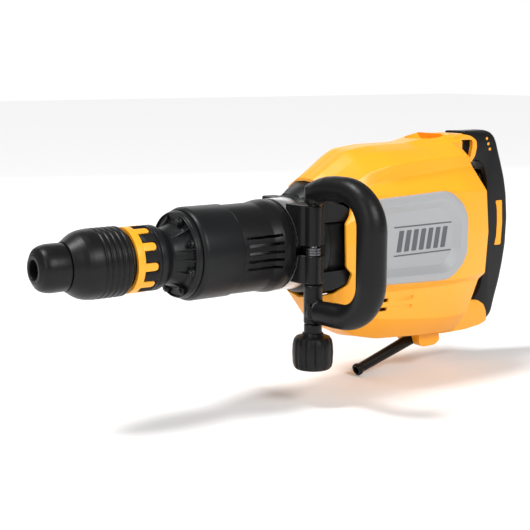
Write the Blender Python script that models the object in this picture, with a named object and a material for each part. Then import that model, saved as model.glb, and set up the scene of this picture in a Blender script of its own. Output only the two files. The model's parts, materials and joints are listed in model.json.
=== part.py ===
"""Electric demolition hammer, built as separate named pieces.

The drawing frame has its origin on the tool axis at the tip of the nose: +X runs back to the rear handle,
-Y is the side that carries the D-shaped side handle, +Z is up. Drawing lengths are in millimetres.
Everything hangs from one empty that puts the world origin at the middle of the hammer's footprint.
"""

import math

import bmesh
import bpy

MM = 0.001
GAP = 0.3

# --- driving dimensions, millimetres -------------------------------------------------------------
LENGTH = 690.0
FOOT_Z = -180.0
SIDE_REACH = -169.6
PANEL_REACH = 79.4

SHANK_R = 9.2
SLEEVE_BACK = 103.0
RING_FRONT = 104.0
RING_TAB_ROOT = 110.4
RING_TAB_TIP = 128.0
RING_BACK = 133.0
RING_R = 36.3
RING_TABS = 10
FIRST_TAB_DEG = 24.5
NECK_R = 31.0
FLANGE_X = 172.0
BOSS_R = 41.5
BARREL_FRONT = 177.0
BARREL_R = 52.7
BARREL_SPLIT = 230.0
BARREL_BACK = 300.0
BARREL_REAR_R = 54.3
SLOT_FIRST_DEG = 69.5
SLOT_STEP_DEG = 10.0
SLOT_COUNT = 5
BAND_FRONT = 301.0
BAND_BACK = 324.5
BAND_R = 54.6
CASE_FRONT = 325.5
CYLINDER_BORE_R = 25.0

CLAMP_X = 313.0
CLAMP_Y = -66.8
BOLT = (CLAMP_X, CLAMP_Y)
CLAMP_R = 9.2
JAW_TOP = 51.5
JAW_BOTTOM = -38.5
HUB_TOP = 75.0
HUB_BOTTOM = -83.4
KNOB_TOP = -98.0
KNOB_BOTTOM = -137.0
KNOB_R = 22.5
D_SWING_DEG = 8.0
D_DEPTH = 87.2
D_TOP = 73.0
D_FOOT = -70.0
GRIP_R = 16.6
ARM_R = 14.0

SHELL_FRONT = 345.0
SHELL_WALL = 3.0
SHELL_BACK = 591.0
DISH_X = 542.0
DISH_R = 19.0
VENT_HEIGHTS = (-72.0, -83.5)
CORD_X = 538.0
CORD_Z = -141.0
CORD_LEAN_DEG = 17.0
CHEEK_Y = 27.0
CHEEK_WALL = 5.0
HANDLE_HALF = 17.5
PIVOT_X = 628.0
PIVOT_Z = -114.0

CRANK_X = 442.0
CRANK_THROW = 12.0
ROD_LENGTH = 88.0
IDLER_X = 487.0
MOTOR_X = 530.0
CRANK_GEAR_R = 33.0
IDLER_SMALL_R = 11.5
IDLER_LARGE_R = 32.0
PINION_R = 10.4

# Points on the axes of the hinged pieces inside the body and the rear handle.
CRANK_AXIS = (CRANK_X, 0.0, 0.0)
ROD_AXIS = (CRANK_X - CRANK_THROW, 0.0, 0.0)
IDLER_AXIS = (IDLER_X, 0.0, 0.0)
MOTOR_AXIS = (MOTOR_X, 0.0, 0.0)
HANDLE_AXIS = (PIVOT_X, 0.0, PIVOT_Z)
TRIGGER_AXIS = (650.0, 0.0, 63.0)


# --- materials ------------------------------------------------------------------------------------
def material(name, colour, roughness, metallic=0.0):
    made = bpy.data.materials.new(name)
    made.use_nodes = True
    shader = made.node_tree.nodes["Principled BSDF"]
    shader.inputs["Base Color"].default_value = (*colour, 1.0)
    shader.inputs["Roughness"].default_value = roughness
    shader.inputs["Metallic"].default_value = metallic
    made.diffuse_color = (*colour, 1.0)
    return made


FINISHES = {
    "yellow": ((0.90, 0.42, 0.02), 0.42, 0.0),
    "black_plastic": ((0.018, 0.018, 0.020), 0.45, 0.0),
    "rubber": ((0.012, 0.012, 0.013), 0.65, 0.0),
    "grey_plastic": ((0.42, 0.43, 0.45), 0.45, 0.0),
    "black_casting": ((0.022, 0.023, 0.025), 0.50, 0.3),
    "steel": ((0.62, 0.62, 0.63), 0.28, 1.0),
    "dark_steel": ((0.12, 0.12, 0.13), 0.35, 1.0),
    "aluminium": ((0.66, 0.67, 0.69), 0.38, 1.0),
    "copper_brown": ((0.45, 0.18, 0.08), 0.45, 0.6),
    "board_green": ((0.02, 0.14, 0.06), 0.55, 0.0),
}


# --- building blocks ------------------------------------------------------------------------------
def clear_scene():
    for old in list(bpy.data.objects):
        bpy.data.objects.remove(old, do_unlink=True)


def empty(name, place, parent=None, turn=(0.0, 0.0, 0.0)):
    holder = bpy.data.objects.new(name, None)
    holder.location = [value * MM for value in place]
    holder.rotation_euler = turn
    holder.parent = parent
    bpy.context.scene.collection.objects.link(holder)
    return holder


def add(name, mesh, finish, parent, centre=(0.0, 0.0, 0.0), sharp_deg=35.0):
    """Makes an object from a bmesh drawn in the parent's frame, with its origin at centre."""
    bmesh.ops.translate(mesh, verts=mesh.verts, vec=[-value for value in centre])
    bmesh.ops.scale(mesh, verts=mesh.verts, vec=(MM, MM, MM))
    bmesh.ops.recalc_face_normals(mesh, faces=mesh.faces)
    data = bpy.data.meshes.new(name)
    mesh.to_mesh(data)
    mesh.free()
    data.shade_smooth()
    data.set_sharp_from_angle(angle=math.radians(sharp_deg))
    body = bpy.data.objects.new(name, data)
    body.location = [value * MM for value in centre]
    body.parent = parent
    bpy.context.scene.collection.objects.link(body)
    if finish is not None:
        data.materials.append(material(name, *FINISHES[finish]))
    return body


def combine(body, cutter_mesh, operation, frame=None):
    """Joins or cuts a body with a bmesh drawn in the given frame, or in that of the body's parent."""
    tool = add("tool_" + body.name, cutter_mesh, None, frame or body.parent)
    tool.hide_render = True
    tool.display_type = "WIRE"
    boolean = body.modifiers.new(operation.lower(), "BOOLEAN")
    boolean.operation = operation
    boolean.solver = "EXACT"
    boolean.object = tool


def cut(body, *cutters):
    for cutter in cutters:
        combine(body, cutter, "DIFFERENCE")


def join(body, *extras):
    for extra in extras:
        combine(body, extra, "UNION")


def loft(loops, closed_run=False, capped=True):
    """A skin through loops of equal length. The two ends are capped unless the run closes on itself."""
    mesh = bmesh.new()
    rings = [[mesh.verts.new(point) for point in loop] for loop in loops]
    count = len(rings[0])
    pairs = list(zip(rings, rings[1:]))
    if closed_run:
        pairs.append((rings[-1], rings[0]))
    for first, second in pairs:
        for i in range(count):
            j = (i + 1) % count
            mesh.faces.new((first[i], first[j], second[j], second[i]))
    if capped and not closed_run:
        mesh.faces.new(rings[0])
        mesh.faces.new(rings[-1])
    return mesh


def on_axis(axis, along, across, up):
    if axis == "X":
        return (along, across, up)
    if axis == "Y":
        return (across, along, up)
    return (across, up, along)


def turned(profile, axis="X", centre=(0.0, 0.0), segments=26):
    """A closed profile of (along, radius) turned round an axis. Ends at radius 0 make a solid."""
    solid = profile[0][1] == 0.0
    rows = profile[1:-1] if solid else profile
    mesh = bmesh.new()
    angles = [2.0 * math.pi * i / segments for i in range(segments)]
    rings = []
    for along, radius in rows:
        ring = []
        for angle in angles:
            across = centre[0] + radius * math.cos(angle)
            up = centre[1] + radius * math.sin(angle)
            ring.append(mesh.verts.new(on_axis(axis, along, across, up)))
        rings.append(ring)
    pairs = list(zip(rings, rings[1:]))
    if not solid:
        pairs.append((rings[-1], rings[0]))
    for first, second in pairs:
        for i in range(segments):
            j = (i + 1) % segments
            mesh.faces.new((first[i], first[j], second[j], second[i]))
    if solid:
        mesh.faces.new(rings[0])
        mesh.faces.new(rings[-1])
    return mesh


def rod(radius, low, high, axis="X", centre=(0.0, 0.0), segments=16):
    return turned([(low, 0.0), (low, radius), (high, radius), (high, 0.0)], axis, centre, segments)


def tube(inner, outer, low, high, axis="X", centre=(0.0, 0.0), segments=26):
    profile = [(low, inner), (low, outer), (high, outer), (high, inner)]
    return turned(profile, axis, centre, segments)


def box(low, high):
    corners = [(low[0], low[1]), (high[0], low[1]), (high[0], high[1]), (low[0], high[1])]
    return loft([[(x, y, z) for x, y in corners] for z in (low[2], high[2])])


def slab(outline, low, high, axis="Y"):
    """An outline of (x, z) pushed along Y, of (x, y) along Z, or of (y, z) along X."""
    def place(point, along):
        if axis == "Y":
            return (point[0], along, point[1])
        if axis == "Z":
            return (point[0], point[1], along)
        return (along, point[0], point[1])

    return loft([[place(point, along) for point in outline] for along in (low, high)])


def arc(centre, radius, start_deg, stop_deg, steps):
    turn = (stop_deg - start_deg) / steps
    angles = [math.radians(start_deg + turn * i) for i in range(steps + 1)]
    return [(centre[0] + radius * math.cos(a), centre[1] + radius * math.sin(a)) for a in angles]


def sector(inner, outer, low_deg, high_deg, low, high, steps=2):
    """A block of a ring about the X axis. Angles run from +Z towards -Y."""
    rims = []
    for along in (low, high):
        loop = []
        for radius, first, last in ((inner, low_deg, high_deg), (outer, high_deg, low_deg)):
            for i in range(steps + 1):
                angle = math.radians(first + (last - first) * i / steps)
                loop.append((along, -radius * math.sin(angle), radius * math.cos(angle)))
        rims.append(loop)
    return loft(rims)


def toothed(radius, bore, teeth, depth, low, high, centre):
    """A gear about a vertical axis, with tips at the given radius."""
    outline = []
    for tooth in range(teeth):
        for share, r in ((-0.30, radius - depth), (-0.15, radius), (0.15, radius), (0.30, radius - depth)):
            angle = 2.0 * math.pi * (tooth + share) / teeth
            outline.append((centre[0] + r * math.cos(angle), centre[1] + r * math.sin(angle)))
    hole = []
    for tooth in range(teeth):
        for share in (-0.30, -0.15, 0.15, 0.30):
            angle = 2.0 * math.pi * (tooth + share) / teeth
            hole.append((centre[0] + bore * math.cos(angle), centre[1] + bore * math.sin(angle)))
    faces = [(outline, low), (outline, high), (hole, high), (hole, low)]
    return loft([[(x, y, z) for x, y in loop] for loop, z in faces], closed_run=True)


def swept(path, radii, segments=14):
    """A round bar through points of the XZ plane drawn as (x, z), with a radius at each point."""
    loops = []
    for i, (x, z) in enumerate(path):
        before = path[max(i - 1, 0)]
        after = path[min(i + 1, len(path) - 1)]
        heading = math.atan2(after[1] - before[1], after[0] - before[0])
        across = (-math.sin(heading), math.cos(heading))
        loop = []
        for step in range(segments):
            angle = 2.0 * math.pi * step / segments
            out = radii[i] * math.cos(angle)
            loop.append((x + across[0] * out, radii[i] * math.sin(angle), z + across[1] * out))
        loops.append(loop)
    return loft(loops)


# --- nose and chisel holder -----------------------------------------------------------------------
def dust_cap(parent):
    """Rubber cap that closes the nose round the chisel."""
    profile = [(0, SHANK_R + 1.3), (0, 16), (5, 22.5), (9, 24.5), (15, 25.7), (32.8, 25.7),
               (32.8, 20.2), (13, 20.2), (13, SHANK_R + 1.3)]
    add("dust_cap", turned(profile), "rubber", parent)


def tool_holder(parent):
    """Steel spindle: the chisel's bore in front, the striker's wider bore behind."""
    profile = [(13.5, SHANK_R), (13.5, 19.8), (98.5, 19.8), (98.5, 30.3), (108.5, 30.3), (108.5, 24.0),
               (205, 24.0), (205, 16.5), (112, 16.5), (104, SHANK_R)]
    holder = add("tool_holder", turned(profile, segments=20), "dark_steel", parent)
    slots = [box((70, sign * 14.5 - 8, -5), (90, sign * 14.5 + 8, 5)) for sign in (-1, 1)]
    cut(holder, *slots)


def locking_segments(parent):
    """Two steel bars that drop into the chisel shank's grooves."""
    for side, sign in (("left", -1), ("right", 1)):
        inner, outer = sorted((sign * (SHANK_R + 0.6), sign * 22.0))
        bar = box((70 + GAP, inner, -5 + GAP), (90 - GAP, outer, 5 - GAP))
        add("locking_segment_" + side, bar, "steel", parent)


def lock_sleeve(parent):
    """Black sleeve behind the cap: drawn back, it frees the locking segments."""
    outer = [(33.4, 26.6), (37, 28.2), (43.6, 33), (48, 35.4), (54, 37.1), (62, 37.8)]
    for groove in range(3):
        start = 68.0 + 9.0 * groove
        outer += [(start, 38.2), (start + 2.0, 37.2), (start + 4.0, 38.2)]
    outer += [(95.5, 38.0), (SLEEVE_BACK - 3.6, 35.4)]
    inner = [(SLEEVE_BACK - 3.6, 31.0), (60, 31.0), (60, 23.0), (44, 23.0), (44, 20.2), (33.4, 20.2)]
    add("lock_sleeve", turned(outer + inner, segments=24), "rubber", parent)


def sleeve_spring(parent):
    """Coil spring that pushes the sleeve forwards again."""
    turns, steps, wire, coil = 4.5, 10, 1.2, 27.0
    low, high = 65.5, 96.0
    total = int(turns * steps)
    loops = []
    for i in range(total + 1):
        angle = 2.0 * math.pi * i / steps
        along = low + (high - low) * i / total
        loop = []
        for k in range(4):
            around = 2.0 * math.pi * k / 4
            r = coil + wire * math.cos(around)
            loop.append((along + wire * math.sin(around), -r * math.sin(angle), r * math.cos(angle)))
        loops.append(loop)
    add("sleeve_spring", loft(loops), "steel", parent)


def angle_ring(parent):
    """Yellow ring with tabs, turned to set the chisel's angle, and the rubber pads between its tabs."""
    ring = add("angle_ring", tube(31.4, RING_R, RING_FRONT, RING_TAB_ROOT), "yellow", parent)
    pads = add("angle_ring_grip", tube(31.4, 34.2, RING_TAB_ROOT + GAP, RING_BACK), "rubber", parent)
    spacing = 360.0 / RING_TABS
    for tab in range(RING_TABS):
        centre = FIRST_TAB_DEG + spacing * tab
        join(ring, sector(34.6, RING_R, centre - 7.5, centre + 7.5, RING_TAB_ROOT - 1, RING_TAB_TIP))
        between = centre + spacing / 2.0
        join(pads, sector(33.8, RING_R, between - 9.8, between + 9.8, RING_TAB_ROOT + GAP, RING_BACK))


# --- striking train -------------------------------------------------------------------------------
def striking_train(parent):
    """Beat piece, ram and piston, from the chisel backwards. The piston is drawn at its front end of travel."""
    beat = [(108, 0), (108, 7.5), (130, 7.5), (134, 15.9), (176, 15.9), (182, 11), (196, 11), (196, 0)]
    add("beat_piece", turned(beat, segments=20), "steel", parent)
    face = CYLINDER_BORE_R - GAP
    ram = [(213, 0), (213, 10), (220, 10), (222, face), (268, face), (268, 0)]
    add("ram", turned(ram, segments=20), "steel", parent)
    skirt = [(296, 0), (296, face), (377, face), (377, 22.2), (306, 22.2), (306, 0)]
    add("piston", turned(skirt, segments=20), "aluminium", parent)


def cylinder(parent):
    """Steel tube that the piston and the ram slide in."""
    profile = [(207, CYLINDER_BORE_R), (207, 29.5), (402, 29.5), (402, CYLINDER_BORE_R)]
    add("cylinder", turned(profile), "steel", parent)


def crank_drive(parent):
    """Crankshaft with its gear, and the connecting rod with the pin at its small end."""
    crank = (CRANK_X, 0)
    pin = (CRANK_X - CRANK_THROW, 0)
    small = (pin[0] - ROD_LENGTH, 0)
    shaft = add("crankshaft", rod(22.0, 11, 19, "Z", crank, 20), "steel", parent, CRANK_AXIS)
    join(shaft, rod(8.0, 18, 66, "Z", crank), rod(6.5, -11, 12, "Z", pin))
    gear = toothed(CRANK_GEAR_R, 8.0 + GAP, 15, 3.0, 46, 57, crank)
    add("crank_gear", gear, "dark_steel", parent, CRANK_AXIS)
    bar = box((small[0] + 4, -5, -6), (pin[0] - 9, 5, 6))
    link = add("connecting_rod", bar, "steel", parent, ROD_AXIS)
    join(link, rod(12.0, -10, 10, "Z", pin), rod(8.5, -8, 8, "Z", small))
    cut(link, rod(6.5 + GAP, -12, 12, "Z", pin), rod(4.0 + GAP, -12, 12, "Z", small))
    add("piston_pin", rod(4.0, -10, 10, "Z", small), "steel", parent, ROD_AXIS)


def idler(parent):
    """Two-step gear between the motor's pinion and the crank gear, and the shaft it turns on."""
    centre = (IDLER_X, 0)
    gear = toothed(IDLER_LARGE_R, 5.0 + GAP, 15, 2.6, 62, 70, centre)
    pair = add("idler_gear", gear, "dark_steel", parent, IDLER_AXIS)
    join(pair, tube(5.0 + GAP, IDLER_SMALL_R, 46, 62.5, "Z", centre, 16))
    add("idler_shaft", rod(5.0, 34, 72, "Z", centre), "steel", parent)


def motor(parent):
    """Armature with its pinion and fan, and the field, bearings and brushes round it, on an upright axis."""
    axis = (MOTOR_X, 0)
    armature = add("armature", rod(25.0, -68, -8, "Z", axis, 20), "dark_steel", parent, MOTOR_AXIS)
    join(armature, rod(6.0, -112, 56, "Z", axis), rod(PINION_R, 55, 72, "Z", axis))
    join(armature, rod(15.0, 2, 26, "Z", axis))
    hub = 6.0 + GAP
    fan = [(-96, hub), (-96, 12), (-90, 12), (-90, 42), (-84, 42), (-84, hub)]
    add("cooling_fan", turned(fan, "Z", axis, 20), "black_plastic", parent, MOTOR_AXIS)
    add("field_stack", tube(26.5, 46.0, -72, -6, "Z", axis, 20), "copper_brown", parent)
    for name, low in (("motor_bearing_upper", 36.0), ("motor_bearing_lower", -110.0)):
        add(name, tube(hub, 14.0, low, low + 9.0, "Z", axis, 16), "steel", parent)
    for side, sign in (("left", -1), ("right", 1)):
        inner, outer = sorted((sign * 15.5, sign * 38.0))
        brush = box((MOTOR_X - 5, inner, 8), (MOTOR_X + 5, outer, 20))
        add("carbon_brush_" + side, brush, "dark_steel", parent)


# --- barrel ---------------------------------------------------------------------------------------
def front_housing(parent):
    """Black casting between the angle ring and the barrel: neck, webs and a flange with screw bosses."""
    profile = [(RING_BACK + 0.5, 26.0), (RING_BACK + 0.5, 36.2), (139, 36.2), (142, 35.2), (145, 33.2),
               (149, NECK_R), (153, NECK_R), (FLANGE_X, 36.0), (FLANGE_X, 49.0), (176.5, 49.0),
               (176.5, 36.0), (204, 36.0), (204, 26.0)]
    casting = add("front_housing", turned(profile, segments=24), "black_casting", parent)
    for web in range(6):
        join(casting, sector(30.0, 44.0, 42.0 + 60.0 * web, 46.0 + 60.0 * web, 160, 173, 1))
    for boss in range(4):
        angle = math.radians(20.0 + 90.0 * boss)
        centre = (-BOSS_R * math.sin(angle), BOSS_R * math.cos(angle))
        join(casting, rod(5.0, 166, 174, "X", centre, 12))
        cut(casting, rod(3.2, 160, 180, "X", centre, 12))
        screw = rod(2.9, 164, 196, "X", centre, 12)
        add("front_screw_%d" % (boss + 1), screw, "dark_steel", parent)


def barrel(parent):
    """Two black sleeves round the cylinder. The rear one has five slots on its left side."""
    front = [(BARREL_FRONT, 49.8), (BARREL_FRONT + 5.5, BARREL_R), (BARREL_SPLIT - 1, BARREL_R),
             (BARREL_SPLIT, 51.6), (BARREL_SPLIT, 36.0), (206, 36.0), (206, 46.0), (BARREL_FRONT, 46.0)]
    sleeve = add("barrel_front", turned(front, segments=28), "black_casting", parent)
    for boss in range(4):
        angle = math.radians(20.0 + 90.0 * boss)
        centre = (-BOSS_R * math.sin(angle), BOSS_R * math.cos(angle))
        join(sleeve, rod(5.4, 178, 208, "X", centre, 12))
        cut(sleeve, rod(3.3, 170, 200, "X", centre, 12))
    rear = [(BARREL_SPLIT + GAP, 51.0), (274, 51.6), (284, BARREL_REAR_R), (292, BARREL_REAR_R),
            (BARREL_BACK, 52.0), (BARREL_BACK, 30.0), (292, 30.0), (292, 47.0), (240, 47.0),
            (240, 30.0), (BARREL_SPLIT + GAP, 30.0)]
    cover = add("barrel_rear", turned(rear, segments=28), "black_plastic", parent)
    for slot in range(SLOT_COUNT):
        middle = SLOT_FIRST_DEG + SLOT_STEP_DEG * slot
        cut(cover, sector(44.0, 56.0, middle - 1.6, middle + 1.6, 242, 283, 1))


# --- side handle ----------------------------------------------------------------------------------
def side_clamp(parent):
    """Steel band round the barrel, the two jaws that hold its ends, and the bolt through them."""
    band = add("clamp_band", tube(51.6, BAND_R, BAND_FRONT, BAND_BACK, segments=36), "steel", parent)
    cut(band, box((BAND_FRONT - 2, -60, -7), (BAND_BACK + 2, -30, 7)))
    for name, low, high in (("clamp_jaw_upper", 5.2, JAW_TOP), ("clamp_jaw_lower", JAW_BOTTOM, -5.2)):
        jaw = add(name, box((BAND_FRONT + 1, -73, low), (BAND_BACK + 5, -30, high)), "black_plastic", parent)
        seat = [(290, 0), (290, BAND_R + GAP), (326, BAND_R + GAP), (331.5, 59), (337, 62.5), (345, 62.5), (345, 0)]
        cut(jaw, turned(seat, segments=36))
        join(jaw, rod(CLAMP_R, low, high, "Z", BOLT, 20))
        cut(jaw, rod(4.5, low - 5, high + 5, "Z", BOLT, 12))
    add("clamp_spacer", tube(4.5, 8.0, -4.9, 4.9, "Z", BOLT, 16), "steel", parent)
    bolt = add("clamp_bolt", rod(4.1, KNOB_BOTTOM + 12, HUB_TOP - 9, "Z", BOLT, 12), "steel", parent)
    join(bolt, rod(7.0, HUB_TOP - 10, HUB_TOP - 4, "Z", BOLT, 6))


def d_handle(parent):
    """D-shaped grip drawn in its own plane, its bar in the local XZ plane and the bolt on the local Z axis."""
    corner = 42.0
    path = [(0.0, D_TOP)]
    path += arc((D_DEPTH - corner, D_TOP - corner), corner, 90, 0, 7)
    path += arc((D_DEPTH - corner, D_FOOT + corner), corner, 0, -90, 7)
    path += [(0.0, D_FOOT)]
    radii = [ARM_R - 1] + [ARM_R + (GRIP_R - ARM_R) * i / 7 for i in range(8)]
    radii += [GRIP_R - (GRIP_R - ARM_R) * i / 7 for i in range(8)] + [ARM_R - 1]
    grip = add("d_handle", swept(path, radii), "rubber", parent)
    join(grip, rod(10.5, JAW_TOP + GAP, HUB_TOP + 6, "Z"))
    join(grip, rod(10.5, HUB_BOTTOM, JAW_BOTTOM - GAP, "Z"))
    cut(grip, rod(20.0, JAW_BOTTOM - GAP, JAW_TOP + GAP, "Z"))
    cut(grip, rod(4.5, HUB_BOTTOM - 5, HUB_TOP - 3.5, "Z", segments=12))
    cut(grip, rod(7.6, HUB_TOP - 10.6, HUB_TOP + 20, "Z", segments=12))


def clamp_knob(parent):
    """Fluted knob on the lower end of the clamp bolt."""
    outline = []
    for flute in range(12):
        for share, r in ((-0.30, KNOB_R), (0.30, KNOB_R), (0.42, KNOB_R - 2.0), (0.58, KNOB_R - 2.0)):
            angle = 2.0 * math.pi * (flute + share) / 12
            outline.append((r * math.cos(angle), r * math.sin(angle)))
    levels = ((KNOB_BOTTOM, 0.86), (KNOB_BOTTOM + 4, 0.98), (KNOB_TOP - 8, 1.0), (KNOB_TOP - 1, 0.86))
    loops = [[(x * share, y * share, z) for x, y in outline] for z, share in levels]
    knob = add("clamp_knob", loft(loops), "black_plastic", parent)
    join(knob, rod(10.4, KNOB_TOP - 3, HUB_BOTTOM - GAP, "Z"))
    cut(knob, rod(4.5, KNOB_BOTTOM + 10, HUB_BOTTOM + 5, "Z", segments=12))


# --- body -----------------------------------------------------------------------------------------
# Half sections of the yellow shell, from the crest down the left side to the belly. Each row holds the
# section's x and eleven (half width, height) points: crest, roof, edge, wall foot, pod top, pod middle,
# pod foot, wall foot, lower edge, keel and belly.
SHELL_SECTIONS = (
    (345, ((0, 65), (30, 58), (46, 46), (56, 34), (64, 20), (66, 0), (62, -24), (54, -40), (40, -53),
           (22, -64), (0, -68))),
    (375, ((0, 79), (28, 74), (46, 62), (57, 50), (67, 30), (69, 0), (67, -32), (57, -56), (44, -84),
           (26, -102), (0, -107))),
    (405, ((0, 100), (30, 95), (50, 81), (60, 67), (71, 49), (73, 0), (71, -49), (61, -60), (52, -92),
           (30, -118), (0, -122))),
    (440, ((0, 110), (34, 105), (55, 91), (63, 74), (74, 53), (76, 0), (74, -53), (64, -63), (55, -98),
           (32, -126), (0, -129))),
    (500, ((0, 113), (34, 108), (56, 95), (63, 78), (74, 57), (76, 0), (74, -55), (65, -64), (57, -104),
           (34, -130), (0, -133))),
    (545, ((0, 124), (30, 118), (55, 96), (63, 77), (74, 55), (76, 0), (74, -55), (65, -64), (56, -107),
           (34, -132), (0, -135))),
    (SHELL_BACK, ((0, 124), (30, 117), (52, 96), (61, 76), (70, 52), (72, 0), (70, -53), (61, -64), (53, -106),
                  (32, -132), (0, -136))),
)
# How far back the yellow shell reaches at each height.
BACK_EDGE = ((-134, 574), (-106, 575), (-81, 579), (-53, 589), (0, SHELL_BACK), (45, 589), (67, 585),
             (87, 576), (104, 561), (124, 556))


def back_edge(height):
    for (low, low_x), (high, high_x) in zip(BACK_EDGE, BACK_EDGE[1:]):
        if height <= high:
            share = max(height - low, 0.0) / (high - low)
            return low_x + (high_x - low_x) * share
    return BACK_EDGE[-1][1]


def half_shell(sign, inset, low_x, mid):
    """The left or right half of the body, pulled in by inset, starting at low_x and split at mid."""
    loops = []
    for x, section in SHELL_SECTIONS:
        skin = []
        for out, height in section:
            y = max(out - inset, 0.0) + mid
            z = height - math.copysign(inset, height) if abs(height) > 30 else height
            skin.append((x, sign * y, z))
        parting = [(x, sign * mid, z) for x, _, z in reversed(skin[1:-1])]
        loops.append(skin + parting)
    loops[0] = [(low_x, y, z) for _, y, z in loops[0]]
    loops[-1] = [(back_edge(z) - inset, y, z) for _, y, z in loops[-1]]
    mesh = loft(loops, capped=False)
    mesh.verts.ensure_lookup_table()
    count = len(loops[0])
    last = len(SHELL_SECTIONS[0][1]) - 1
    for start in (0, count * (len(loops) - 1)):
        corners = mesh.verts[start:start + count]
        mesh.faces.new((corners[0], corners[1], corners[-1]))
        mesh.faces.new((corners[last - 1], corners[last], corners[last + 1]))
        for i in range(1, last - 1):
            mesh.faces.new((corners[i], corners[i + 1], corners[count - i - 1], corners[count - i]))
    bmesh.ops.triangulate(mesh, faces=mesh.faces)
    return mesh


# Outlines of the cheeks that hold the rear handle, of the cord's boss and of the window in the upper cheek.
TOP_CHEEK = ((550, 121), (585, 118), (610, 116), (620, 109), (619, 99), (608, 88), (590, 82), (550, 82))
FOOT_CHEEK = ((555, -96), (598, -97), (622, -99), (634, -106), (639, -116), (640, -129), (628, -133), (600, -136),
              (555, -136))
CORD_BOSS = ((524, -124), (557, -124), (560, -146), (551, -151), (530, -151), (524, -146))
WINDOW = ((589, 112), (609, 112), (609, 106), (602, 94))
ROOF_TONGUE = ((550, 122), (592, 122), (592, 117.5), (550, 117.5))


def shell(side, sign, parent, cord_frame):
    """One half of the yellow body, with the cheeks that carry the rear handle."""
    body = add("housing_" + side, half_shell(sign, 0.0, SHELL_FRONT, 0.15), "yellow", parent, sharp_deg=25.0)
    inner, outer = sorted((sign * (CHEEK_Y - 12), sign * CHEEK_Y))
    join(body, slab(TOP_CHEEK, inner, outer), slab(FOOT_CHEEK, inner, outer))
    inner, outer = sorted((sign * 0.4, sign * (CHEEK_Y - 6)))
    join(body, slab(CORD_BOSS, inner, outer), slab(ROOF_TONGUE, inner, outer))
    cut(body, half_shell(sign, SHELL_WALL, SHELL_FRONT - 5, -1.0))
    rim = [(x, sign * y) for x, y in arc((DISH_X, 0.4), DISH_R + 3.0, 180, 0, 8)]
    join(body, slab(rim, 108, 119, "Z"))
    dish = [(140, 0), (140, DISH_R), (122, DISH_R), (115, DISH_R - 6), (112, DISH_R - 14), (112, 0)]
    cut(body, turned(dish, "Z", (DISH_X, 0), 16))
    inner, outer = sorted((-sign * 5, sign * (CHEEK_Y - CHEEK_WALL)))
    cut(body, box((566, inner, 88), (700, outer, 117.1)))
    cut(body, box((592, inner, 82), (700, outer, 150)))
    cut(body, box((584, inner, -150), (700, outer, -88)))
    inner, outer = sorted((sign * 15, sign * 60))
    cut(body, slab(WINDOW, inner, outer))
    cut(body, rod(5.2, -60, 60, "Y", (PIVOT_X, PIVOT_Z), 12))
    combine(body, rod(8.5, -20, 16, "X"), "DIFFERENCE", cord_frame)
    inner, outer = sorted((sign * 45, sign * 80))
    for vent in VENT_HEIGHTS:
        cut(body, box((419, inner, vent - 2.4), (436, outer, vent + 2.4)))


def side_panel(side, sign, parent):
    """Light grey plate let into the side of the body, dished in the middle."""
    outer = [(396, 53), (510, 57), (524, 52), (541, 38), (549, 22), (549, -22), (541, -37), (524, -50),
             (510, -53), (396, -48)]
    inner = [(396, 34), (503, 37), (514, 30), (521, 16), (521, -16), (514, -28), (503, -34), (396, -31)]
    low, high = sorted((sign * 76.4, sign * 79.4))
    plate = add("side_panel_" + side, slab(outer, low, high), "grey_plastic", parent)
    low, high = sorted((sign * 78.2, sign * 82.0))
    cut(plate, slab(inner, low, high))


def gear_case(parent):
    """Black casting behind the clamp band that holds the cylinder's end, the crank and the idler."""
    front = [(CASE_FRONT, 29.9), (CASE_FRONT, 53.5), (331, 57.5), (336, 60.3), (344, 60.3), (346, 57.5),
             (372, 57.5), (376, 50), (402.6, 50), (402.6, 29.9)]
    casting = add("gear_case", turned(front, segments=24), "black_casting", parent)
    join(casting, box((402.4, -46, -34), (512, 46, 74)))
    cut(casting, box((406, -42, -29), (477, 42, 90)), box((406, -42, 42), (508, 42, 90)))
    cut(casting, rod(23.5, 390, 410, "X"))
    cut(casting, box((477, -60, -60), (520, 60, 33)), box((500, -36, 58), (530, 36, 90)))
    cut(casting, rod(5.3, 30, 60, "Z", (IDLER_X, 0), 12))


def gear_cover(parent):
    """Flat lid of the gear case, with the seat of the crankshaft's upper end."""
    lid = add("gear_case_cover", box((404.4, -42, 74.4), (512, 42, 79)), "black_casting", parent)
    cut(lid, rod(PINION_R + 3, 60, 90, "Z", (MOTOR_X - 12, 0)))


# --- rear handle ----------------------------------------------------------------------------------
# The C of the rear handle from the side: the root in the body, the run down the back, and the finger gap.
HANDLE_ROOT = ((592.5, 97.0), (571.5, 99.5), (571.5, 116.5), (598.5, 116.5), (598.5, 124))
HANDLE_BACK = ((646, 124), (657, 120), (664, 110), (669, 96), (675, 80), (682, 60), (687, 38), (LENGTH, 6),
               (688.5, -30), (684, -56), (678, -80), (670, -104), (664, -124), (655, -132))
HANDLE_GAP = ((612, -132), (612, -103), (627, -98), (636, -84), (641, -62), (644, -38), (645, 30),
              (643, 58), (637, 76), (627, 85), (602, 86))
# Half widths of the rear handle, and how far its back edge is drawn in at each.
HANDLE_ROUNDING = ((8.0, 0.0), (13.0, 2.0), (16.2, 5.5), (HANDLE_HALF, 10.0))


def drawn_in(run, amount):
    """A run of (x, z) points moved to the right of its own direction of travel."""
    moved = []
    for i, (x, z) in enumerate(run):
        before = run[max(i - 1, 0)]
        after = run[min(i + 1, len(run) - 1)]
        heading = math.atan2(after[1] - before[1], after[0] - before[0])
        moved.append((x + amount * math.sin(heading), z - amount * math.cos(heading)))
    return moved


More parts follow.
